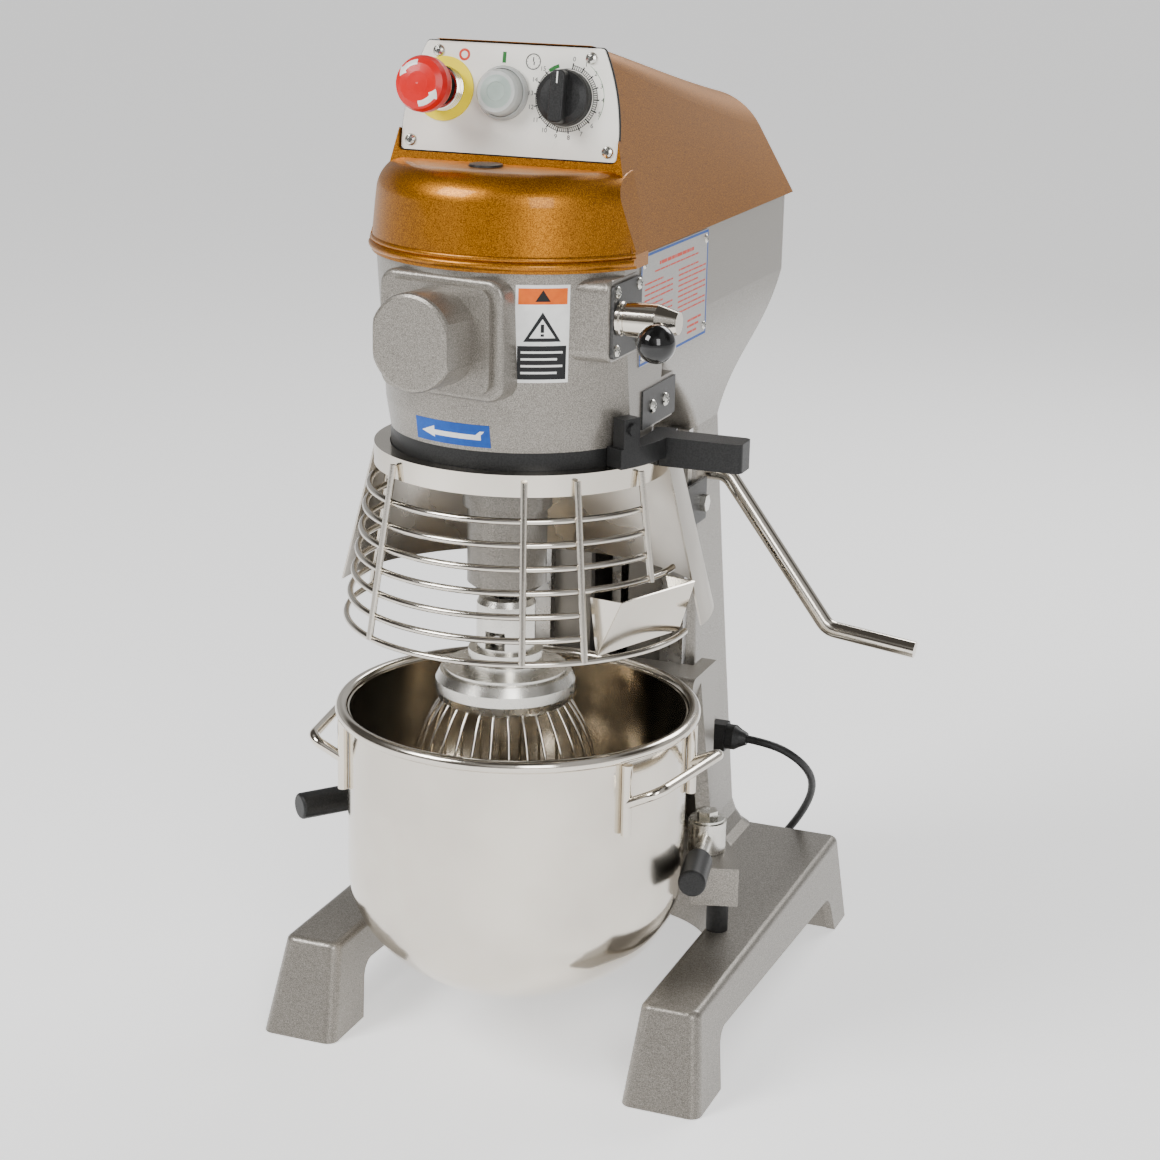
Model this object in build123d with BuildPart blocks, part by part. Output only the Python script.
"""Bench planetary stand mixer: cast stand, geared head, planetary whisk, lifting bowl and wire guard.

Frame: origin on the bench at the centre of the four foot-bolt holes, +Z up, the front is -Y.
"""
import math
import os

from build123d import *

os.makedirs("parts", exist_ok=True)

# ---------------------------------------------------------------- driving dimensions (mm)
axis_y = -130.0  # mixing axis, in front of the stand's middle

foot_bolt_x = 155.0
foot_bolt_y = 187.0
foot_bolt_r = 5.0
base_top = 77.0
base_wall = 8.0

head_low = 508.0
head_floor = 514.0
head_top = 648.0
head_flat = 98.0
plate_low = 590.0
case_rear = 222.0

panel_lean = 9.46
panel_low_y = -165.3
panel_low_z = 719.8

rim_z = 281.5
rim_r = 138.0
rim_tube_r = 5.0
bowl_r = 133.5
bowl_wall = 1.5
bowl_knuckle_z = 150.0
bowl_depth = 101.0

crank_y = 105.0
crank_z = 426.0
crank_rod_r = 7.0

guard_band_r = 112.2
guard_band_low = 478.5
guard_ring_r = 133.7
guard_ring_z = 359.0
guard_wire_r = 2.5

gear_module = 2.5
ring_teeth = 52
planet_teeth = 16
main_teeth = 36
pinion_teeth = 14
offset_r = gear_module * (ring_teeth - planet_teeth) / 2
offset_angle = -80.5
agitator_x = offset_r * math.cos(math.radians(offset_angle))
agitator_y = axis_y + offset_r * math.sin(math.radians(offset_angle))
input_y = axis_y + gear_module * (main_teeth + pinion_teeth) / 2
motor_y = 118.0

hub_turn = -10.0  # the attachment hub looks slightly to the mixer's right-hand side
hub_z = 592.0

cord_r = 3.5


# ---------------------------------------------------------------- helpers
def save(piece, name):
    """Label a finished piece and write it as one STEP file."""
    piece.label = name
    export_step(piece, f"parts/{name}.step")


def around(radius, degrees):
    """A point at a radius and an angle about the mixing axis."""
    turn = math.radians(degrees)
    return (radius * math.cos(turn), axis_y + radius * math.sin(turn))


def tube(inner_r, outer_r, low, high, x=0.0, y=axis_y):
    """A plain upright ring between two heights."""
    with BuildPart(mode=Mode.PRIVATE) as made:
        with BuildSketch(Plane.XY.offset(low)):
            with Locations((x, y)):
                Circle(outer_r)
                if inner_r > 0:
                    Circle(inner_r, mode=Mode.SUBTRACT)
        extrude(amount=high - low)
    return made.part


def turned(points, x=0.0, y=axis_y):
    """A body turned about an upright axis from (radius, height) corner points."""
    with BuildPart(mode=Mode.PRIVATE) as made:
        with BuildSketch(Plane(origin=(x, y, 0), x_dir=(1, 0, 0), z_dir=(0, -1, 0))):
            with BuildLine():
                Polyline(*points, close=True)
            make_face()
        revolve(axis=Axis((x, y, 0), (0, 0, 1)))
    return made.part


def lofted(sections, inset=0.0, ruled=False):
    """Upright casting through rounded rectangles: (height, half width, front y, rear y, corner)."""
    with BuildPart(mode=Mode.PRIVATE) as made:
        for height, half, front, rear, corner in sections:
            with BuildSketch(Plane.XY.offset(height)):
                with Locations((0, (front + rear) / 2)):
                    RectangleRounded(2 * (half - inset), rear - front - 2 * inset, corner)
        loft(ruled=ruled)
    return made.part


def rod(points, radius, bend):
    """A round bar along straight runs with rounded bends."""
    with BuildPart(mode=Mode.PRIVATE) as made:
        with BuildLine() as path:
            if len(points) > 2:
                FilletPolyline(*points, radius=bend)
            else:
                Line(*points)
        with BuildSketch(Plane(origin=path.wire() @ 0, z_dir=path.wire() % 0)):
            Circle(radius)
        sweep()
    return made.part


def wire_hoop(radius, height, start, stop, wire_r):
    """A level hoop of wire about the mixing axis, between two angles in degrees."""
    x, y = around(radius, start)
    turn = math.radians(start)
    with BuildPart(mode=Mode.PRIVATE) as made:
        radial = (math.cos(turn), math.sin(turn), 0)
        tangent = (math.sin(turn), -math.cos(turn), 0)
        with BuildSketch(Plane(origin=(x, y, height), x_dir=radial, z_dir=tangent)):
            Circle(wire_r)
        revolve(axis=Axis((0, axis_y, 0), (0, 0, 1)), revolution_arc=stop - start)
    return made.part


def involute(base_r, radius):
    """Polar angle that the involute of a base circle has gained at a radius."""
    slope = math.sqrt(max((radius / base_r) ** 2 - 1.0, 0.0))
    return slope - math.atan(slope)


def tooth_outline(teeth, tip, root, width_at_pitch, turn):
    """Closed outline of a gear with involute flanks of 20 degrees."""
    pitch_r = gear_module * teeth / 2
    base_r = pitch_r * math.cos(math.radians(20))
    half = width_at_pitch / pitch_r / 2 + involute(base_r, pitch_r)
    start = max(base_r, root)
    radii = [start + (tip - start) * step / 4 for step in range(5)]
    outline = []
    for tooth in range(teeth):
        middle = math.radians(turn) + 2 * math.pi * tooth / teeth
        flank = [(r, half - involute(base_r, r)) for r in radii]
        rising = [(root, -half)] + [(r, -a) for r, a in flank]
        falling = [(r, a) for r, a in reversed(flank)] + [(root, half)]
        for r, a in rising + falling:
            outline.append((r * math.cos(middle + a), r * math.sin(middle + a)))
    return outline


def spur_gear(teeth, bore_r, low, high, x, y, turn):
    """External spur gear, cut a little thin so that it runs with backlash."""
    pitch_r = gear_module * teeth / 2
    tip = pitch_r + 0.85 * gear_module
    root = pitch_r - 1.2 * gear_module
    width = math.pi * gear_module / 2 - 0.25
    with BuildPart(mode=Mode.PRIVATE) as made:
        with BuildSketch(Plane(origin=(x, y, low))):
            with BuildLine():
                Polyline(*tooth_outline(teeth, tip, root, width, turn), close=True)
            make_face()
            Circle(bore_r, mode=Mode.SUBTRACT)
        extrude(amount=high - low)
    return made.part


def hex_bolt(shank_r, across_flats, head_high, length, place):
    """Hexagon-head bolt whose head stands on the plane, with its shank below."""
    with BuildPart(mode=Mode.PRIVATE) as made:
        with BuildSketch(place):
            RegularPolygon(across_flats / 2, 6, major_radius=False)
        extrude(amount=head_high)
        with BuildSketch(place):
            Circle(shank_r)
        extrude(amount=-length)
    return made.part


def dome_screw(shank_r, head_r, head_high, length, place):
    """Dome-head screw whose head stands on the plane, with its shank below."""
    outline = [(0, -length), (shank_r, -length), (shank_r, 0), (head_r, 0), (head_r, head_high * 0.3)]
    outline += [(head_r * 0.86, head_high * 0.65), (head_r * 0.5, head_high * 0.93), (0, head_high)]
    with BuildPart(mode=Mode.PRIVATE) as made:
        with BuildSketch(Plane(origin=place.origin, x_dir=place.x_dir, z_dir=-place.y_dir)):
            with BuildLine():
                Polyline(*outline, close=True)
            make_face()
        revolve(axis=Axis(place.origin, place.z_dir))
    return made.part


def bar(low, high):
    """A plain block between two opposite corners."""
    size = [b - a for a, b in zip(low, high)]
    middle = tuple((a + b) / 2 for a, b in zip(low, high))
    with BuildPart(mode=Mode.PRIVATE) as made:
        with Locations(middle):
            Box(*size)
    return made.part


def sector(points, start, stop):
    """Closed (radius, height) outline turned about the mixing axis between two angles in degrees."""
    turn = math.radians(start)
    radial = (math.cos(turn), math.sin(turn), 0)
    with BuildPart(mode=Mode.PRIVATE) as made:
        with BuildSketch(Plane(origin=(0, axis_y, 0), x_dir=radial, z_dir=(radial[1], -radial[0], 0))):
            with BuildLine():
                Polyline(*points, close=True)
            make_face()
        revolve(axis=Axis((0, axis_y, 0), (0, 0, 1)), revolution_arc=stop - start)
    return made.part


# ---------------------------------------------------------------- base casting
def base_level(height, outer, inner, front, bridge, rear):
    """Outline of the stand at one height: two legs joined by a bridge with wide inner corners."""
    right = [(inner, bridge), (inner, front), (outer, front), (outer, rear)]
    left = [(-x, y) for x, y in reversed(right)]
    with BuildSketch(Plane.XY.offset(height)) as level:
        with BuildLine():
            Polyline(*right, *left, close=True)
        make_face()
        fillet([v for v in level.vertices() if abs(v.Y - bridge) < 1], 88)
        fillet([v for v in level.vertices() if abs(abs(v.X) - outer) < 1 or abs(v.Y - front) < 1], 9)
    return level.sketch


with BuildPart() as base_pocket:
    add(base_level(0, 187 - base_wall, 122.5 + base_wall, -213 + base_wall, 62 + base_wall, 210 - base_wall))
    top = base_top - base_wall
    wall = base_wall
    add(base_level(top, 178 - wall, 128.5 + wall, wall - 192, 65 + wall, 204 - wall))
    loft(ruled=True)
    for foot_wall in (-162, 174):
        for side in (-155, 155):
            with Locations((side, foot_wall, 20)):
                Box(80, base_wall, 44, mode=Mode.SUBTRACT)

with BuildPart() as base_arch:
    with BuildSketch(Plane.YZ.offset(-200)) as arch_side:
        with BuildLine():
            Polyline((-158, -5), (-147, 45), (160, 34), (170, -5), close=True)
        make_face()
        fillet([v for v in arch_side.vertices() if v.Y < 0 and v.Y < -100 or v.Y > 10], 16)
    extrude(amount=400)
    with Locations((0, 190, 12)):
        Box(236, 60, 44)

# bolt bosses in the feet, kept inside the sloping walls
with BuildPart() as foot_bosses:
    add(base_level(0, 184, 125.5, -210, 65, 207))
    add(base_level(base_top - 4, 174.5, 131.7, -188, 69.8, 201.3))
    loft(ruled=True)
    with GridLocations(2 * foot_bolt_x, 2 * foot_bolt_y, 2, 2):
        Cylinder(14, 140, mode=Mode.INTERSECT)

with BuildPart() as base_casting:
    add(base_level(0, 187, 122.5, -213, 62, 210))
    add(base_level(base_top, 177, 129, -190, 67, 204))
    loft(ruled=True)
    fillet(base_casting.faces().sort_by(Axis.Z)[-1].edges(), 6)
    add(base_pocket.part, mode=Mode.SUBTRACT)
    add(base_arch.part, mode=Mode.SUBTRACT)
    add(foot_bosses.part)
    with GridLocations(2 * foot_bolt_x, 2 * foot_bolt_y, 2, 2):
        Cylinder(foot_bolt_r, 30, align=(Align.CENTER, Align.CENTER, Align.MIN), mode=Mode.SUBTRACT)
    with Locations((0, 137.5, 73)):
        with GridLocations(100, 85, 2, 2):
            Cylinder(5.4, 20, mode=Mode.SUBTRACT)
save(base_casting.part, "base_casting")

# ---------------------------------------------------------------- body casting: column, neck, case and barrel
column_sections = [(base_top, 80, 70, 203, 10), (310, 75, 70, 162, 10), (470, 71, 70, 139, 10)]
neck_sections = [
    (470, 71, 70, 139, 10),
    (508, 80, 12, 156, 11),
    (545, 92, -68, 188, 12),
    (584, head_flat, -130, case_rear, 14),
]
foot_sections = [
    (base_top, 96, 58, 209, 18),
    (81, 88, 64, 207, 14),
    (90, 82.5, 68.5, 203, 12),
    (106, 78.4, 71.5, 197, 10),
]

with BuildPart() as barrel:
    add(turned([(0, head_low), (99.4, head_low), (103, 530), (110.6, head_top), (0, head_top)]))
    with Locations((0, axis_y, 578)):
        Box(2 * head_flat, 300, 200, mode=Mode.INTERSECT)

hub_place = Plane(
    origin=(0, axis_y, hub_z),
    x_dir=(math.cos(math.radians(hub_turn)), math.sin(math.radians(hub_turn)), 0),
    z_dir=(math.sin(math.radians(hub_turn)), -math.cos(math.radians(hub_turn)), 0),
)
hub_pad_depth = 112.0

with BuildPart() as hub_pad:
    with BuildSketch(hub_place.offset(70)):
        RectangleRounded(106, 88, 13)
    extrude(amount=hub_pad_depth - 70)
    fillet(hub_pad.faces().sort_by(Axis(hub_place.origin, hub_place.z_dir))[-1].edges(), 4)

shift_face = 98.5
shift_y = -180.0
shift_z = 606.0
shift_axis_y = -197.5
shift_axis_z = 608.0
with BuildPart() as shift_boss:
    boss_root = Plane(origin=(shift_face - 56, shift_y - 0.3, shift_z), x_dir=(0, 1, 0), z_dir=(1, 0, 0))
    with BuildSketch(boss_root):
        RectangleRounded(62.6, 60, 9)
    extrude(amount=56)
    fillet(shift_boss.faces().sort_by(Axis.X)[-1].edges(), 2)

shield_bolt_places = (
    Plane(origin=(75.7, 82, 404), x_dir=(0, 1, 0), z_dir=(1, 0, 0)),
    Plane(origin=(-75.7, 82, 404), x_dir=(0, 1, 0), z_dir=(-1, 0, 0)),
)
# every dome-head screw of the casting's sides: (place, shank radius, head radius, head height, length)
side_screws = []
for y, z in ((-142, 570), (-1, 570), (-1, 638), (-142, 638)):
    place = Plane(origin=(head_flat + 0.8, y, z), x_dir=(0, 1, 0), z_dir=(1, 0, 0))
    side_screws.append((place, 1.5, 3.4, 1.6, 6))
for y, z in ((-22, -21), (22, -21), (22, 21), (-22, 21)):
    place = Plane(origin=(shift_face + 2.5, shift_y + y, shift_z + z), x_dir=(0, 1, 0), z_dir=(1, 0, 0))
    side_screws.append((place, 2.5, 4.4, 2.4, 11))
for y in (-118, -90):
    place = Plane(origin=(head_flat + 1.5, y, 528.5), x_dir=(0, 1, 0), z_dir=(1, 0, 0))
    side_screws.append((place, 2.5, 5.2, 3, 10))

with BuildPart() as body_casting:
    add(lofted(column_sections))
    add(lofted(neck_sections))
    add(lofted(foot_sections, ruled=True))
    case_sections = [(584, head_flat, -130, case_rear, 14), (head_top, head_flat, -130, case_rear, 14)]
    add(lofted(case_sections, ruled=True))
    add(barrel.part)
    add(hub_pad.part)
    add(shift_boss.part)
    add(bar((70, -136, 512), (head_flat, -68, 546)))
    with Locations(Plane(origin=(70, 127, 184), z_dir=(1, 0, 0))):
        Cylinder(16, 9.5, align=(Align.CENTER, Align.CENTER, Align.MIN))
    # hollows: oil-tight barrel, case, neck and column
    add(tube(0, 86, 530, head_top), mode=Mode.SUBTRACT)
    add(tube(0, 89, plate_low, head_top), mode=Mode.SUBTRACT)
    add(tube(0, 16.02, 520, 530, 0, input_y), mode=Mode.SUBTRACT)
    add(lofted([(592, 89, -100, 213, 8), (head_top, 89, -100, 213, 8)], ruled=True), mode=Mode.SUBTRACT)
    neck_hollow = [(470, 62, 79, 130, 6), (508, 70, 30, 146, 6), (545, 82, -30, 178, 6), (592, 88, -80, 212, 8)]
    add(lofted(neck_hollow), mode=Mode.SUBTRACT)
    add(lofted([(95, 70, 79, 190, 6), (310, 66, 79, 153, 6), (470, 62, 79, 130, 6)]), mode=Mode.SUBTRACT)
    add(tube(0, 88, head_low, head_floor), mode=Mode.SUBTRACT)
    add(tube(0, 26.02, head_floor, 530), mode=Mode.SUBTRACT)
    add(bar((-17, 60, 120), (17, 85, 466)), mode=Mode.SUBTRACT)
    with Locations(Plane(origin=(30, crank_y, crank_z), z_dir=(1, 0, 0))):
        Cylinder(crank_rod_r + 0.05, 60, align=(Align.CENTER, Align.CENTER, Align.MIN), mode=Mode.SUBTRACT)
    with Locations(Plane(origin=(0, shift_axis_y, shift_axis_z), z_dir=(1, 0, 0))):
        Cylinder(6.06, 110, align=(Align.CENTER, Align.CENTER, Align.MIN), mode=Mode.SUBTRACT)
    with Locations(hub_place.offset(60)):
        Cylinder(20, 60, align=(Align.CENTER, Align.CENTER, Align.MIN), mode=Mode.SUBTRACT)
    with Locations((0, 137.5, 85)):
        with GridLocations(100, 85, 2, 2):
            Cylinder(5.03, 20, mode=Mode.SUBTRACT)
    for place in shield_bolt_places:
        with Locations(place):
            Cylinder(4.03, 40, mode=Mode.SUBTRACT)
    for place, shank_r, head_r, head_high, length in side_screws:
        with Locations(place):
            Cylinder(shank_r + 0.03, 2 * length, mode=Mode.SUBTRACT)
save(body_casting.part, "body_casting")

# ---------------------------------------------------------------- attachment hub cover
with BuildPart() as hub_dome:
    with BuildSketch(Plane(origin=hub_place.origin, x_dir=hub_place.x_dir, z_dir=-hub_place.y_dir)):
        with BuildLine():
            near = hub_pad_depth + 2
            far = hub_pad_depth + 37
            hub_edge = [(35.5, near), (35.5, far - 3), (34.6, far - 0.9), (32.5, far)]
            Polyline((0, near), *hub_edge, (0, far), close=True)
        make_face()
    revolve(axis=Axis(hub_place.origin, hub_place.z_dir))
    with Locations(hub_place.offset(hub_pad_depth + 20)):
        Box(63, 80, 40, mode=Mode.INTERSECT)

with BuildPart() as hub_cover:
    with BuildSketch(hub_place.offset(hub_pad_depth)):
        RectangleRounded(90, 76, 10)
    extrude(amount=4)
    add(hub_dome.part)
    with Locations(hub_place.offset(hub_pad_depth)):
        Cylinder(20, 56, mode=Mode.SUBTRACT)
save(hub_cover.part, "hub_cover")

# ---------------------------------------------------------------- hood
panel_turn = math.radians(panel_lean)
panel_place = Plane(
    origin=(0, panel_low_y, panel_low_z),
    x_dir=(1, 0, 0),
    z_dir=(0, -math.cos(panel_turn), math.sin(panel_turn)),
)
hood_rim = 3.0  # the hood's face stands this far ahead of the panel
hood_skirt_z = 640.0


def hood_arch(y, half_low, half_high, top_z, corner, inset):
    """Cross-section of the hood's rear body at one distance from the front."""
    with BuildSketch(Plane(origin=(0, y, 0), x_dir=(1, 0, 0), z_dir=(0, -1, 0))) as arch:
        low = head_top + 0.2 - 4 * (inset > 0)
        with BuildLine():
            Polyline(
                (-half_low + inset, low),
                (half_low - inset, low),
                (half_high - inset, top_z - inset),
                (-half_high + inset, top_z - inset),
                close=True,
            )
        make_face()
        fillet([v for v in arch.vertices() if v.Y > 700], corner - inset)
    return arch.sketch


def hood_body(inset):
    """Rear body of the hood: an arch that sinks and rounds towards the rear."""
    with BuildPart(mode=Mode.PRIVATE) as made:
        add(hood_arch(-185, 103.5, 71.5, 797.5, 14, inset))
        add(hood_arch(-60, 103, 66, 777, 24, inset))
        add(hood_arch(80, 102, 58, 754, 40, inset))
        add(hood_arch(case_rear + 2.5 - inset, 101, 52, 731, 58, inset))
        loft()
        split(bisect_by=panel_place.offset(hood_rim - 3 * inset), keep=Keep.BOTTOM)
    return made.part


def bonnet(inset, low):
    """Round front of the hood: brim bead, upright wall, wide shoulder and ledge."""
    with BuildPart(mode=Mode.PRIVATE) as made:
        with BuildSketch(Plane(origin=(0, axis_y, 0), x_dir=(1, 0, 0), z_dir=(0, -1, 0))):
            with BuildLine():
                Line((0, low), (113.6 - inset, low))
                if inset == 0:
                    Line((113.6, low), (113.6, low + 2))
                    ThreePointArc((113.6, low + 2), (116, low + 5), (113.6, low + 8))
                    ThreePointArc((113.6, low + 8), (114.6, low + 10), (113.2, low + 12))
                    Line((113.2, low + 12), (110.2, 686))
                else:
                    Line((113.6 - inset, low), (110.2 - inset, 686))
                TangentArc((110.2 - inset, 686), (90, 707 - inset), tangent=(-0.065, 1))
                Line((90, 707 - inset), (0, 707 - inset))
                Line((0, 707 - inset), (0, low))
            make_face()
        revolve(axis=Axis((0, axis_y, 0), (0, 0, 1)))
        with BuildSketch(Plane(origin=(0, -150, 0), x_dir=(1, 0, 0), z_dir=(0, -1, 0))):
            with BuildLine():
                foot = 104.6 - inset
                top = 88 - inset
                right_side = [(foot, 600), (foot, 650), (top, 720)]
                left_side = [(-top, 720), (-foot, 650), (-foot, 600)]
                Polyline(*right_side, *left_side, close=True)
            make_face()
        extrude(amount=110, mode=Mode.INTERSECT)
    return made.part


def panel_outline(grow):
    """The panel's outline: narrow top, bulging sides, wide foot."""
    with BuildSketch(panel_place) as outline:
        with BuildLine():
            Line((-84, -7), (84, -7))
            ThreePointArc((84, -7), (81.5, 34), (68.5, 72))
            Line((68.5, 72), (-68.5, 72))
            ThreePointArc((-68.5, 72), (-81.5, 34), (-84, -7))
        make_face()
        fillet(outline.vertices(), 3)
        if grow:
            offset(amount=grow, kind=Kind.INTERSECTION)
    return outline.sketch


with BuildPart() as hood:
    add(hood_body(0))
    add(bonnet(0, hood_skirt_z))
    add(bonnet(2.4, hood_skirt_z - 1), mode=Mode.SUBTRACT)
    add(hood_body(3), mode=Mode.SUBTRACT)
    # the panel's recess, with a ledge behind it that the panel screws down on
    extrude(panel_outline(1.2), amount=10, mode=Mode.SUBTRACT)
    extrude(panel_outline(1.2), amount=-3, mode=Mode.SUBTRACT)
    extrude(panel_outline(-9), amount=-12, mode=Mode.SUBTRACT)
    with Locations(panel_place):
        for x, y in ((-59.4, 65), (59.4, 65), (-77, 0), (77, 0)):
            with Locations((x, y)):
                Cylinder(2.05, 30, mode=Mode.SUBTRACT)
    with Locations((-8, -186, 700)):
        Cylinder(11, 30, mode=Mode.SUBTRACT)
save(hood.part, "hood")

with BuildPart() as hood_plug:
    add(turned([(0, 701), (10.9, 701), (10.9, 707.1), (12.5, 707.1), (12.1, 708.6), (0, 708.9)], -8, -186))
save(hood_plug.part, "hood_plug")

# ---------------------------------------------------------------- nameplate
with BuildPart() as nameplate:
    with BuildSketch(Plane(origin=(head_flat, -71.5, 604), x_dir=(0, 1, 0), z_dir=(1, 0, 0))):
        RectangleRounded(153, 83, 3)
        with GridLocations(141, 68, 2, 2):
            Circle(1.6, mode=Mode.SUBTRACT)
    extrude(amount=0.8)
save(nameplate.part, "nameplate")

# ---------------------------------------------------------------- control panel
stop_at = (-53, 38)
start_at = (-6, 37)
timer_at = (42.5, 36)
panel_screws_at = ((-59.4, 65), (59.4, 65), (-77, 0), (77, 0))


def on_panel(place, low, high, radius, hole_r=0.0):
    """A round piece that stands square on the panel between two heights."""
    with BuildPart(mode=Mode.PRIVATE) as made:
        with BuildSketch(panel_place.offset(low)):
            with Locations(place):
                Circle(radius)
                if hole_r > 0:
                    Circle(hole_r, mode=Mode.SUBTRACT)
        extrude(amount=high - low)
    return made.part


def behind_panel(place, low, high, width, height):
    """A block that hangs behind the panel between two heights."""
    with BuildPart(mode=Mode.PRIVATE) as made:
        with BuildSketch(panel_place.offset(low)):
            with Locations(place):
                RectangleRounded(width, height, 2)
        extrude(amount=high - low)
    return made.part


with BuildPart() as panel_gasket:
    extrude(panel_outline(0.9), amount=-3)
    extrude(panel_outline(2), amount=-1.5, mode=Mode.SUBTRACT)
    extrude(panel_outline(-5), amount=-4, mode=Mode.SUBTRACT)
    for place in panel_screws_at:
        add(on_panel(place, -4, 0, 2.3), mode=Mode.SUBTRACT)
save(panel_gasket.part, "panel_gasket")

with BuildPart() as control_panel:
    extrude(panel_outline(0), amount=-1.5)
    for place in (stop_at, start_at):
        add(on_panel(place, -4, 1, 11.2), mode=Mode.SUBTRACT)
    add(on_panel(timer_at, -4, 1, 4.0), mode=Mode.SUBTRACT)
    for place in panel_screws_at:
        add(on_panel(place, -4, 1, 2.3), mode=Mode.SUBTRACT)
save(control_panel.part, "control_panel")

# behind-panel blocks of the stop, start and timer, with the front collars that clamp them
with BuildPart() as switch_blocks:
    add(on_panel(stop_at, 1.5, 12, 13.5, 8.08))
    add(on_panel(stop_at, -18, 1.5, 11, 8.08))
    add(behind_panel(stop_at, -50, -18, 30, 36))
    add(on_panel(start_at, 0, 4, 19.2, 17.2))
    add(on_panel(start_at, 0, 0.8, 19.2, 8.08))
    add(on_panel(start_at, -18, 0.8, 11, 8.08))
    add(behind_panel(start_at, -50, -18, 30, 36))
    add(behind_panel(timer_at, -42, -1.5, 38, 38))
    add(on_panel(timer_at, -42, -1, 3.06), mode=Mode.SUBTRACT)
save(switch_blocks.part, "switch_blocks")

with BuildPart() as stop_disc:
    add(on_panel(stop_at, 0, 1.5, 23.2, 11.2))
save(stop_disc.part, "stop_disc")

with BuildPart() as stop_stem:
    add(on_panel(stop_at, -10, 32, 8.0))
save(stop_stem.part, "stop_stem")


def on_panel_turned(place, points):
    """A piece turned about a panel fitting's own axis from (radius, height) points."""
    centre = (panel_place * Pos(place[0], place[1], 0)).position
    with BuildPart(mode=Mode.PRIVATE) as made:
        with BuildSketch(Plane(origin=centre, x_dir=(1, 0, 0), z_dir=-panel_place.y_dir)):
            with BuildLine():
                Polyline(*points, close=True)
            make_face()
        revolve(axis=Axis(centre, panel_place.z_dir))
    return made.part


with BuildPart() as stop_head:
    head_points = [(8.05, 18.5), (12.5, 18.5), (14, 26), (18.6, 29), (20, 33), (20, 40), (18.2, 44.5)]
    add(on_panel_turned(stop_at, head_points + [(14, 47), (8, 48), (0, 48.2), (0, 32), (8.05, 32)]))
save(stop_head.part, "stop_head")

with BuildPart() as start_cap:
    add(on_panel(start_at, -10, 9, 7.9))
    add(on_panel(start_at, 9, 13.2, 12.5))
save(start_cap.part, "start_cap")

with BuildPart() as start_boot:
    boot_outside = [(15.4, 3.6), (16.9, 3.6), (16.9, 6), (16.2, 13), (14.6, 15.4), (0, 15.4)]
    add(on_panel_turned(start_at, boot_outside + [(0, 13.2), (14.2, 13.2)]))
save(start_boot.part, "start_boot")

with BuildPart() as timer_knob:
    add(on_panel_turned(timer_at, [(0, 1), (20, 1), (20, 8), (19, 10.5), (15, 13), (0, 14)]))
    with BuildSketch(panel_place.offset(8)):
        with Locations(timer_at):
            RectangleRounded(11, 37, 4)
    extrude(amount=13)
    fillet(timer_knob.faces().sort_by(Axis(panel_place.origin, panel_place.z_dir))[-1].edges(), 1.5)
    add(on_panel(timer_at, -12, 1, 3.0))
save(timer_knob.part, "timer_knob")

# ---------------------------------------------------------------- fasteners
with BuildPart() as hex_bolts:
    for x in (-50, 50):
        for y in (95, 180):
            under_base = Plane(origin=(x, y, base_top - base_wall), x_dir=(1, 0, 0), z_dir=(0, 0, -1))
            add(hex_bolt(5, 16, 6.4, 24, under_base))
    for place in shield_bolt_places:
        add(hex_bolt(4, 13, 5, 12, place))
save(hex_bolts.part, "hex_bolts")

with BuildPart() as dome_screws:
    for x, y in panel_screws_at:
        panel_hole = Plane(
            origin=(panel_place * Pos(x, y, 0)).position, x_dir=panel_place.x_dir, z_dir=panel_place.z_dir
        )
        add(dome_screw(2, 4.4, 2.6, 9, panel_hole))
    for place, shank_r, head_r, head_high, length in side_screws:
        add(dome_screw(shank_r, head_r, head_high, length, place))
save(dome_screws.part, "dome_screws")

# ---------------------------------------------------------------- motor, belt and input shaft
with BuildPart() as motor:
    add(bar((-88.9, 32, 592), (88.9, 204, 600)))
    add(tube(0, 60, 600, 664, 0, motor_y))
    add(tube(0, 26, 664, 666, 0, motor_y))
    add(tube(0, 7.06, 638, 667, 0, motor_y), mode=Mode.SUBTRACT)
save(motor.part, "motor")


def pulley(outer_r, groove_r, bore_r, x, y):
    """Belt pulley with a wide groove between two flanges."""
    profile = [(bore_r, 668), (outer_r, 668), (outer_r, 671.5), (groove_r, 673.5)]
    profile += [(groove_r, 684.5), (outer_r, 686.5), (outer_r, 690), (bore_r, 690)]
    return turned(profile, x, y)


with BuildPart() as motor_pulley:
    add(pulley(24, 15, 7, 0, motor_y))
    add(tube(0, 7, 640, 690, 0, motor_y))
save(motor_pulley.part, "motor_pulley")

with BuildPart() as input_pulley:
    add(pulley(48, 39, 8, 0, input_y))
save(input_pulley.part, "input_pulley")


def belt_loop(large_r, small_r):
    """The stadium-like outline round both pulleys."""
    with BuildSketch(Plane(origin=(0, input_y, 675)), mode=Mode.PRIVATE) as loop:
        Circle(large_r)
        with Locations((0, motor_y - input_y)):
            Circle(small_r)
        make_hull()
    return loop.sketch


with BuildPart() as v_belt:
    extrude(belt_loop(47, 23), amount=8)
    extrude(belt_loop(39.5, 15.5), amount=8, mode=Mode.SUBTRACT)
save(v_belt.part, "v_belt")

with BuildPart() as input_shaft:
    add(tube(0, 8, 521, 690, 0, input_y))
    add(spur_gear(pinion_teeth, 4, 544, 561, 0, input_y, 270 + 180 / pinion_teeth))
save(input_shaft.part, "input_shaft")

with BuildPart() as gearbox_plate:
    add(tube(24.02, 88.8, plate_low, plate_low + 12))
    add(tube(0, 18.02, plate_low, plate_low + 12, 0, input_y), mode=Mode.SUBTRACT)
save(gearbox_plate.part, "gearbox_plate")

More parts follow.
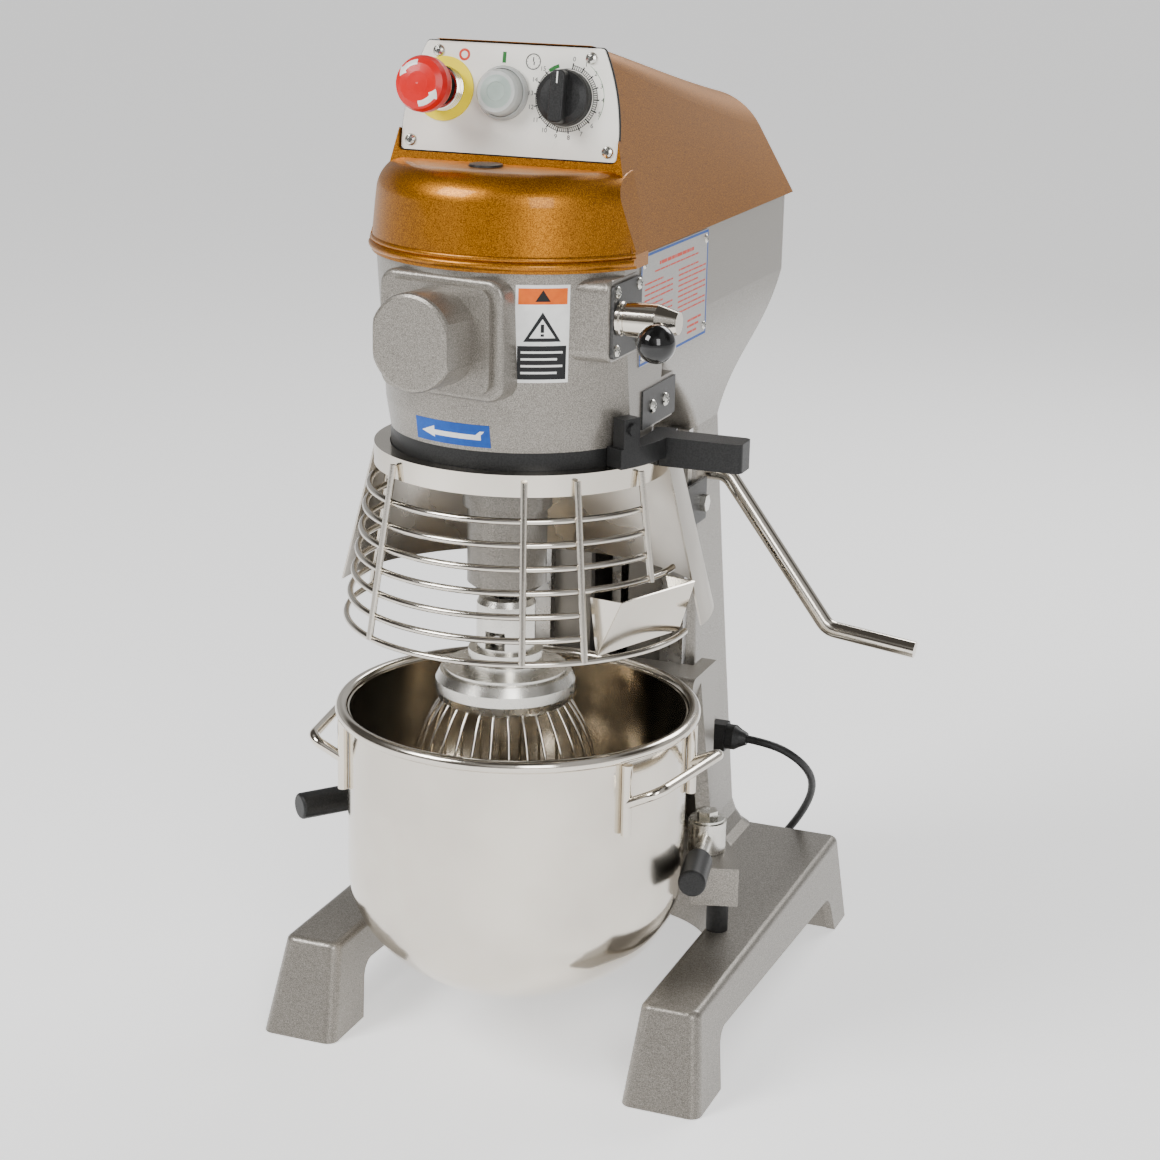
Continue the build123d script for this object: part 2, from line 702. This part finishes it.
with BuildPart() as bearings:
    add(tube(11.05, 26, head_floor, 530))
    add(tube(8.05, 16, 520, 530, 0, input_y))
    add(tube(11.05, 24, plate_low, plate_low + 12))
    add(tube(8.05, 18, plate_low, plate_low + 12, 0, input_y))
save(bearings.part, "bearings")

# ---------------------------------------------------------------- planetary drive
with BuildPart() as main_gear:
    add(spur_gear(main_teeth, 11, 545, 560, 0, axis_y, 90))
save(main_gear.part, "main_gear")

with BuildPart() as main_shaft:
    add(tube(0, 11, 476, 612))
save(main_shaft.part, "main_shaft")

with BuildPart() as ring_gear:
    with BuildSketch(Plane(origin=(0, axis_y, 494))):
        Circle(82)
        with BuildLine():
            space = math.pi * gear_module / 2 + 0.25
            Polyline(*tooth_outline(ring_teeth, 68, 63.125, space, offset_angle), close=True)
        make_face(mode=Mode.SUBTRACT)
    extrude(amount=head_floor - 494)
save(ring_gear.part, "ring_gear")

with BuildPart() as planet_carrier:
    add(tube(0, 84, 474, 490))
    add(tube(0, 18, 490, 512))
    barrel_side = [(24, 392), (30, 397), (30, 455), (33.5, 456), (33.5, 474)]
    add(turned([(0, 392)] + barrel_side + [(0, 474)], agitator_x, agitator_y))
    add(tube(0, 11, 476, 512), mode=Mode.SUBTRACT)
    add(tube(0, 9.05, 392, 490, agitator_x, agitator_y), mode=Mode.SUBTRACT)
save(planet_carrier.part, "planet_carrier")

with BuildPart() as planet_pinion:
    add(spur_gear(planet_teeth, 9, 496, 506, agitator_x, agitator_y, offset_angle))
save(planet_pinion.part, "planet_pinion")

with BuildPart() as agitator_shaft:
    add(tube(0, 9, 346, 508, agitator_x, agitator_y))
    with Locations((agitator_x, agitator_y, 353.5)):
        Cylinder(3.5, 34, rotation=(90, 0, 0))
save(agitator_shaft.part, "agitator_shaft")

# ---------------------------------------------------------------- whisk
whisk_wires_count = 16
whisk_wire_r = 1.5

with BuildPart() as whisk_socket:
    foot = [(0, 326), (46.8, 326), (46.8, 330), (33, 330), (33, 336), (28.5, 336), (28.5, 344), (22.5, 344)]
    mouth = [(22.5, 380), (20.5, 384.5), (17, 386), (16, 386), (16, 376), (9.15, 376), (9.15, 345), (0, 345)]
    add(turned(foot + mouth, agitator_x, agitator_y))
    with Locations((agitator_x, agitator_y, 354)):
        Box(16, 60, 14, mode=Mode.SUBTRACT)
save(whisk_socket.part, "whisk_socket")

with BuildPart() as whisk_ring:
    rim = [(43.5, 304), (49, 304), (52, 306.5), (53.3, 312), (53.3, 320), (50, 327), (47, 327)]
    add(turned(rim, agitator_x, agitator_y))
save(whisk_ring.part, "whisk_ring")

with BuildPart() as whisk_wires:
    add(turned([(0, 132), (12, 132), (12, 138), (0, 138)], agitator_x, agitator_y))
    for number in range(whisk_wires_count):
        angle = math.radians(360 / whisk_wires_count * number)
        across = Plane(
            origin=(agitator_x, agitator_y, 0),
            x_dir=(math.cos(angle), math.sin(angle), 0),
            z_dir=(math.sin(angle), -math.cos(angle), 0),
        )
        with BuildLine(across) as bend:
            ThreePointArc((46, 302.4), (65, 270), (71, 228))
            ThreePointArc((71, 228), (54.5, 171.9), (10, 136))
        with BuildSketch(Plane(origin=bend.wire() @ 0, z_dir=bend.wire() % 0)):
            Circle(whisk_wire_r)
        sweep(path=bend.wire())
save(whisk_wires.part, "whisk_wires")

# ---------------------------------------------------------------- gear-shift lever
shift_ball = (143.5, -238, 600.3)
shift_root = (131, shift_axis_y, shift_axis_z)

with BuildPart() as gear_shift_plate:
    with BuildSketch(Plane(origin=(shift_face, shift_y, shift_z), x_dir=(0, 1, 0), z_dir=(1, 0, 0))):
        RectangleRounded(58, 53, 4)
        with Locations((shift_axis_y - shift_y, shift_axis_z - shift_z)):
            Circle(6.2, mode=Mode.SUBTRACT)
        for place, shank_r, head_r, head_high, length in side_screws[4:8]:
            with Locations((place.origin.Y - shift_y, place.origin.Z - shift_z)):
                Circle(2.6, mode=Mode.SUBTRACT)
    extrude(amount=2.5)
save(gear_shift_plate.part, "gear_shift_plate")

with BuildPart() as gear_shift_hub:
    along_hub = [(0, 10), (6, 10), (6, 101.8), (12.5, 101.8), (12.5, 104), (11.5, 105), (11.5, 107)]
    along_hub += [(12.5, 108), (12.5, 131), (8, 146), (0, 146)]
    with BuildSketch(Plane(origin=(0, shift_axis_y, shift_axis_z), x_dir=(0, 1, 0), z_dir=(0, 0, -1))):
        with BuildLine():
            Polyline(*along_hub, close=True)
        make_face()
    revolve(axis=Axis((0, shift_axis_y, shift_axis_z), (1, 0, 0)))
    with BuildSketch(Plane(origin=(10, shift_axis_y, shift_axis_z), x_dir=(0, 1, 0), z_dir=(1, 0, 0))):
        with Locations(Rotation(0, 0, 40)):
            SlotCenterPoint((11, 0), (22, 0), 10)
    extrude(amount=8)
    add(rod([shift_root, shift_ball], 4, 1))
save(gear_shift_hub.part, "gear_shift_hub")

with BuildPart() as gear_shift_knob:
    with Locations(shift_ball):
        Sphere(13.8)
    add(rod([shift_root, shift_ball], 4, 1), mode=Mode.SUBTRACT)
save(gear_shift_knob.part, "gear_shift_knob")

# ---------------------------------------------------------------- wire guard
guard_low_angle = -188.0
guard_high_angle = 2.0
chute_start = -46.0


def guard_radius(height):
    """Radius of the guard's cone of hoops at one height."""
    return guard_ring_r - (height - guard_ring_z) * (guard_ring_r - 112.8) / (guard_band_low - guard_ring_z)


def guard_post(degrees, top, low):
    """A straight upright wire that lies outside the hoops."""
    stand_off = 2.2
    x_top, y_top = around(max(guard_radius(top) + stand_off, guard_band_r + guard_wire_r + 0.2), degrees)
    x_low, y_low = around(guard_radius(low) + stand_off, degrees)
    return rod([(x_top, y_top, top), (x_low, y_low, low)], guard_wire_r, 1)


with BuildPart() as guard_bearing_ring:
    ring = [(88.5, 487), (108, 487), (108, 492.9), (99.4, 492.9), (99.4, head_low), (88.5, head_low)]
    add(turned(ring))
save(guard_bearing_ring.part, "guard_bearing_ring")

with BuildPart() as guard_band:
    band = [(110.6, 478.5), (112.2, 478.5), (112.2, 494.7), (100.2, 494.7), (100.2, 493.2), (110.6, 493.2)]
    add(turned(band))
save(guard_band.part, "guard_band")

with BuildPart() as guard_wires:
    hoop_ends = ((461.4, -17), (444.4, -17), (427.3, -17), (410.2, -1))
    for height, stop in hoop_ends:
        add(wire_hoop(guard_radius(height), height, guard_low_angle, stop, guard_wire_r))
    for height in (393.1, 376.0):
        add(wire_hoop(guard_radius(height), height, guard_low_angle, chute_start, guard_wire_r))
    add(wire_hoop(guard_ring_r, guard_ring_z, guard_low_angle, guard_high_angle, guard_wire_r))
    for angle in (guard_low_angle + 1, -122.6, -66.6, chute_start - 1):
        add(guard_post(angle, 490, guard_ring_z))
    add(guard_post(-18, 490, 408))
save(guard_wires.part, "guard_wires")


def sheet(corners, thickness):
    """A flat sheet between corner points, in the middle of its thickness."""
    place = Plane(
        origin=corners[0],
        x_dir=Vector(*corners[1]) - Vector(*corners[0]),
        z_dir=(Vector(*corners[1]) - Vector(*corners[0])).cross(Vector(*corners[2]) - Vector(*corners[0])),
    )
    with BuildPart(mode=Mode.PRIVATE) as made:
        with BuildSketch(place):
            with BuildLine():
                Polyline(*[place.to_local_coords(Vector(*corner)) for corner in corners], close=True)
            make_face()
        extrude(amount=thickness / 2, both=True)
    return made.part


with BuildPart() as guard_chute:
    low_left = (*around(131, -42), 361.8)
    low_right = (*around(131, -1), 361.8)
    lip_left = (*around(147, -37.5), 405)
    lip_right = (*around(147, -5.5), 405)
    top_left = (*around(124, -43), 404.5)
    top_right = (*around(122, -3.5), 404.5)
    add(sheet([low_left, low_right, lip_right, lip_left], 1.2))
    add(sheet([low_left, lip_left, top_left], 1.2))
    add(sheet([low_right, lip_right, top_right], 1.2))
save(guard_chute.part, "guard_chute")

with BuildPart() as guard_handle:
    add(bar((90, axis_y - 6, 488), (176, axis_y + 20, 510)))
    fillet(guard_handle.edges().filter_by(Axis.Z).sort_by(Axis.X)[-2:], 5)
    add(tube(0, 112.6, 480, 495.3), mode=Mode.SUBTRACT)
    add(tube(0, 101.5, 490, 512), mode=Mode.SUBTRACT)
    add(sector([(101.5, 495.3), (118, 495.3), (118, 510), (101.5, 510)], -30, 14))
    add(sector([(106, 505), (118, 505), (118, 532), (106, 532)], -29, -21))
    lug_turn = math.radians(-25)
    with Locations(Plane(origin=(*around(114, -25), 524), z_dir=(math.cos(lug_turn), math.sin(lug_turn), 0))):
        Cylinder(4.5, 6.5, align=(Align.CENTER, Align.CENTER, Align.MIN))
save(guard_handle.part, "guard_handle")

with BuildPart() as rear_shield:
    add(sector([(118.5, 487), (120, 487), (150, 368), (148.5, 368)], -1.5, 183))
save(rear_shield.part, "rear_shield")

with BuildPart() as guard_brackets:
    for side in (-1, 1):
        x_low, x_high = sorted((side * 73.2, side * 75.7))
        add(bar((x_low, -25, 388), (x_high, 94, 424)))
    for place in shield_bolt_places:
        with Locations(place):
            Cylinder(4.2, 20, mode=Mode.SUBTRACT)
    add(turned([(0, 380), (147.1, 380), (134, 432), (0, 432)]), mode=Mode.SUBTRACT)
    add(bar((head_flat, -138, 514), (head_flat + 1.5, -66, 543)))
    for place, shank_r, head_r, head_high, length in side_screws[8:]:
        with Locations(place):
            Cylinder(shank_r + 0.2, 8, mode=Mode.SUBTRACT)
save(guard_brackets.part, "guard_brackets")

# ---------------------------------------------------------------- bowl carriage
pin_places = (around(150, 52), around(150, 128))
clamp_places = ((132, -46), (-132, -46))
yoke_low = 118.0
yoke_top = 150.0

with BuildPart() as column_ways:
    for side in (-1, 1):
        x_low, x_high = sorted((side * 50, side * 70))
        add(bar((x_low, 60, 108), (x_high, 70, 470)))
save(column_ways.part, "column_ways")

with BuildPart() as cradle:
    add(bar((-94, 20, yoke_low), (94, 59.7, 268)))
    for side in (-1, 1):
        x_low, x_high = sorted((side * 80.5, side * 94))
        add(bar((x_low, 59.7, yoke_low), (x_high, 82, 268)))
    add(bar((-14, 59.7, 180), (14, 97.9, 215)))
    fillet(cradle.edges().filter_by(Axis.X).group_by(Axis.Z)[-1].sort_by(Axis.Y)[0], 8)
    add(sector([(140, yoke_low), (178, yoke_low), (178, yoke_top), (140, yoke_top)], 18, 162))
    for side in (-1, 1):
        web_out = (side * 0.4791, -0.8778, 0)
        web = Plane(origin=(side * 103, 12.5, 0), x_dir=web_out, z_dir=(-0.8778, -side * 0.4791, 0))
        with BuildSketch(web):
            with BuildLine():
                Polyline((-31, 140), (31, 140), (31, 172), (-31, 262), close=True)
            make_face()
        extrude(amount=6, both=True)
    for x, y in pin_places:
        add(tube(0, 7, 100, 160, x, y), mode=Mode.SUBTRACT)
    for x, y in clamp_places:
        add(tube(0, 5, 100, 160, x, y), mode=Mode.SUBTRACT)
    add(tube(0, 138.8, 100, 280), mode=Mode.SUBTRACT)
save(cradle.part, "cradle")

with BuildPart() as cradle_pins:
    for x, y in pin_places:
        add(turned([(0, 112), (7, 112), (7, 171), (5, 175), (0, 176.5)], x, y))
        add(turned([(7, 156), (9.5, 156), (9.5, 166), (7, 166)], x, y))
    for x, y in clamp_places:
        add(turned([(0, yoke_low), (5, yoke_low), (5, 176.4), (14, 176.4), (14, 178.4), (0, 178.4)], x, y))
        add(hex_bolt(2, 15, 6, 1, Plane(origin=(x, y, 178.4))))
save(cradle_pins.part, "cradle_pins")

with BuildPart() as lift_link:
    add(bar((-8, 97.9, 180), (0, 112, 398)))
    with Locations(Plane(origin=(-12, crank_y, 388), z_dir=(1, 0, 0))):
        Cylinder(4, 30, mode=Mode.SUBTRACT)
save(lift_link.part, "lift_link")

with BuildPart() as bumpers:
    for side in (-140, 140):
        add(tube(0, 9, base_top, yoke_low - 0.3, side, -35))
save(bumpers.part, "bumpers")


def clamp_point(side, toward_side, reach, height):
    """A point along a clamp lever that leaves its hub at an angle from straight ahead."""
    x, y = clamp_places[0] if side > 0 else clamp_places[1]
    turn = math.radians(toward_side)
    return (x + side * reach * math.sin(turn), y - reach * math.cos(turn), height)


def clamp_lever(side, toward_side):
    """Round hub on the clamp bolt with a lever rod."""
    x, y = clamp_places[0] if side > 0 else clamp_places[1]
    with BuildPart(mode=Mode.PRIVATE) as made:
        add(tube(0, 15.5, yoke_top + 0.3, 176, x, y))
        add(rod([clamp_point(side, toward_side, 8, 163), clamp_point(side, toward_side, 95, 163)], 6, 1))
        add(tube(0, 5.05, yoke_top, 177, x, y), mode=Mode.SUBTRACT)
    return made.part


def clamp_grip(side, toward_side):
    """Black sleeve pushed over the end of a clamp lever."""
    with BuildPart(mode=Mode.PRIVATE) as made:
        add(rod([clamp_point(side, toward_side, 55, 163), clamp_point(side, toward_side, 103, 163)], 11, 1))
        fillet(made.edges().filter_by(GeomType.CIRCLE), 2.5)
        add(rod([clamp_point(side, toward_side, 50, 163), clamp_point(side, toward_side, 95, 163)], 6, 1),
            mode=Mode.SUBTRACT)
    return made.part


right_clamp_angle = 12.0
left_clamp_angle = 38.0
save(clamp_lever(1, right_clamp_angle), "clamp_right_lever")
save(clamp_grip(1, right_clamp_angle), "clamp_right_grip")
save(clamp_lever(-1, left_clamp_angle), "clamp_left_lever")
save(clamp_grip(-1, left_clamp_angle), "clamp_left_grip")

# ---------------------------------------------------------------- bowl
with BuildPart() as bowl:
    with BuildSketch(Plane(origin=(0, axis_y, 0), x_dir=(1, 0, 0), z_dir=(0, -1, 0))):
        inner_r = bowl_r - bowl_wall
        inner_depth = bowl_depth - bowl_wall
        with BuildLine():
            EllipticalCenterArc((0, bowl_knuckle_z), bowl_r, bowl_depth, start_angle=270, arc_size=90)
            Line((bowl_r, bowl_knuckle_z), (bowl_r, rim_z))
            Line((bowl_r, rim_z), (inner_r, rim_z))
            Line((inner_r, rim_z), (inner_r, bowl_knuckle_z))
            EllipticalCenterArc((0, bowl_knuckle_z), inner_r, inner_depth, start_angle=270, arc_size=90)
            Line((0, bowl_knuckle_z - inner_depth), (0, bowl_knuckle_z - bowl_depth))
        make_face()
        with Locations((rim_r, rim_z)):
            Circle(rim_tube_r)
    revolve(axis=Axis((0, axis_y, 0), (0, 0, 1)))
save(bowl.part, "bowl")

handle_r = 4.0
leg_r = bowl_r + handle_r + 0.1
with BuildPart() as bowl_fittings:
    for first, second, step in ((-31, 14, 4), (211, 166, -4)):
        for angle in (first, second):
            x, y = around(leg_r, angle)
            add(tube(0, handle_r, 218, 274, x, y))
        bar_points = [
            (*around(leg_r, first), 243),
            (*around(162, first + step), 257),
            (*around(163, second - step), 257),
            (*around(leg_r, second), 243),
        ]
        add(rod(bar_points, handle_r, 11))
    for angle in (52, 128):
        turn = math.radians(angle)
        flat = Plane(origin=(0, axis_y, 0), x_dir=(math.cos(turn), math.sin(turn), 0), z_dir=(0, 0, 1))
        with BuildSketch(flat.offset(yoke_top + 1)):
            with Locations((147, 0)):
                Rectangle(26, 26)
            with Locations((150, 0)):
                Circle(7.4, mode=Mode.SUBTRACT)
        extrude(amount=3.5)
        with BuildSketch(flat.offset(yoke_top + 1)):
            with Locations((135.7, 0)):
                Rectangle(3.2, 26)
        extrude(amount=48)
save(bowl_fittings.part, "bowl_fittings")

# ---------------------------------------------------------------- bowl lift lever
crank_reach = 30.0
with BuildPart() as lift_crank:
    with BuildSketch(Plane(origin=(2, crank_y, crank_z), x_dir=(0, 1, 0), z_dir=(1, 0, 0))):
        with Locations((0, -crank_reach / 2)):
            SlotCenterToCenter(crank_reach, 20, rotation=90)
        Circle(crank_rod_r, mode=Mode.SUBTRACT)
    extrude(amount=8)
save(lift_crank.part, "lift_crank")

with BuildPart() as lift_lever:
    lever_bend = [(90, crank_y, crank_z), (183.5, crank_y, 301.8)]
    lever_points = [(2, crank_y, crank_z)] + lever_bend + [(258.9, crank_y, 292.8)]
    add(rod(lever_points, crank_rod_r, 16))
save(lift_lever.part, "lift_lever")

# ---------------------------------------------------------------- cord
gland_y = 127.0
gland_z = 184.0
with BuildPart() as cable_gland:
    gland_place = Plane(origin=(79.5, gland_y, gland_z), x_dir=(0, 1, 0), z_dir=(1, 0, 0))
    with BuildSketch(gland_place):
        RegularPolygon(12, 6, major_radius=False)
    extrude(amount=12.5)
    with BuildSketch(Plane(origin=(79.5, gland_y, gland_z), x_dir=(1, 0, 0), z_dir=(0, -1, 0))):
        with BuildLine():
            Polyline((10, 0), (10, 11), (20, 11), (25, 8), (30.5, 5.5), (30.5, 0), close=True)
        make_face()
    revolve(axis=Axis(gland_place.origin, (1, 0, 0)))
save(cable_gland.part, "cable_gland")

cord_route = [
    (110, 127, 184),
    (134, 127.5, 182.5),
    (153, 140, 168),
    (159, 163, 147),
    (155, 187, 125),
    (146, 207, 103),
    (134, 220, 81),
    (120, 228, 60),
    (105, 233, 41),
    (88, 237, 24),
    (71, 241, 10.5),
    (53, 250.5, 3.5),
    (42.5, 268, 3.5),
    (42, 290, 3.5),
]
cord_arcs = []
for before, corner, after in zip(cord_route, cord_route[1:], cord_route[2:]):
    run_in = Vector(*corner) - Vector(*before)
    run_out = Vector(*after) - Vector(*corner)
    half_turn = math.radians(run_in.get_angle(run_out)) / 2
    cord_arcs.append(0.45 * min(run_in.length, run_out.length) / math.tan(half_turn))
print("cord bend radii", [round(arc, 1) for arc in cord_arcs])

with BuildPart() as cord_tube:
    with BuildLine() as cord_line:
        FilletPolyline(*cord_route, radius=cord_arcs)
    with BuildSketch(Plane(origin=cord_line.wire() @ 0, z_dir=cord_line.wire() % 0)):
        Circle(cord_r)
    sweep(path=cord_line.wire())
cord_section = math.pi * cord_r ** 2
print("cord tube", round(cord_tube.part.volume), "against", round(cord_section * cord_line.wire().length))
print("cord tube length", round(cord_line.wire().length))
save(cord_tube.part, "cord_tube")

coil_x = -12.0
coil_y = 298.0
with BuildPart() as cord_coil:
    add(tube(29.5, 50.5, 0, 15, coil_x, coil_y))
    add(bar((36, 290, 0), (45.5, 300, 7)))
    add(rod([(coil_x - 46.5, coil_y, 11.4), (coil_x - 46.5, 270, 11.4)], cord_r, 1))
save(cord_coil.part, "cord_coil")

with BuildPart() as plug:
    with BuildSketch(Plane(origin=(coil_x - 46.5, 270, 12.5), x_dir=(1, 0, 0), z_dir=(0, -1, 0))):
        Circle(5.5)
    with BuildSketch(Plane(origin=(coil_x - 46.5, 250, 12.5), x_dir=(1, 0, 0), z_dir=(0, -1, 0))):
        Circle(9)
    loft()
    with BuildSketch(Plane(origin=(coil_x - 46.5, 252, 12.5), x_dir=(1, 0, 0), z_dir=(0, -1, 0))):
        RectangleRounded(34, 25, 8)
    extrude(amount=20)
    for x, z, wide, high in ((0, 7, 4, 7), (-8, -3, 6.4, 4), (8, -3, 6.4, 4)):
        with BuildSketch(Plane(origin=(coil_x - 46.5 + x, 232, 12.5 + z), x_dir=(1, 0, 0), z_dir=(0, -1, 0))):
            Rectangle(wide, high)
        extrude(amount=13)
save(plug.part, "plug")
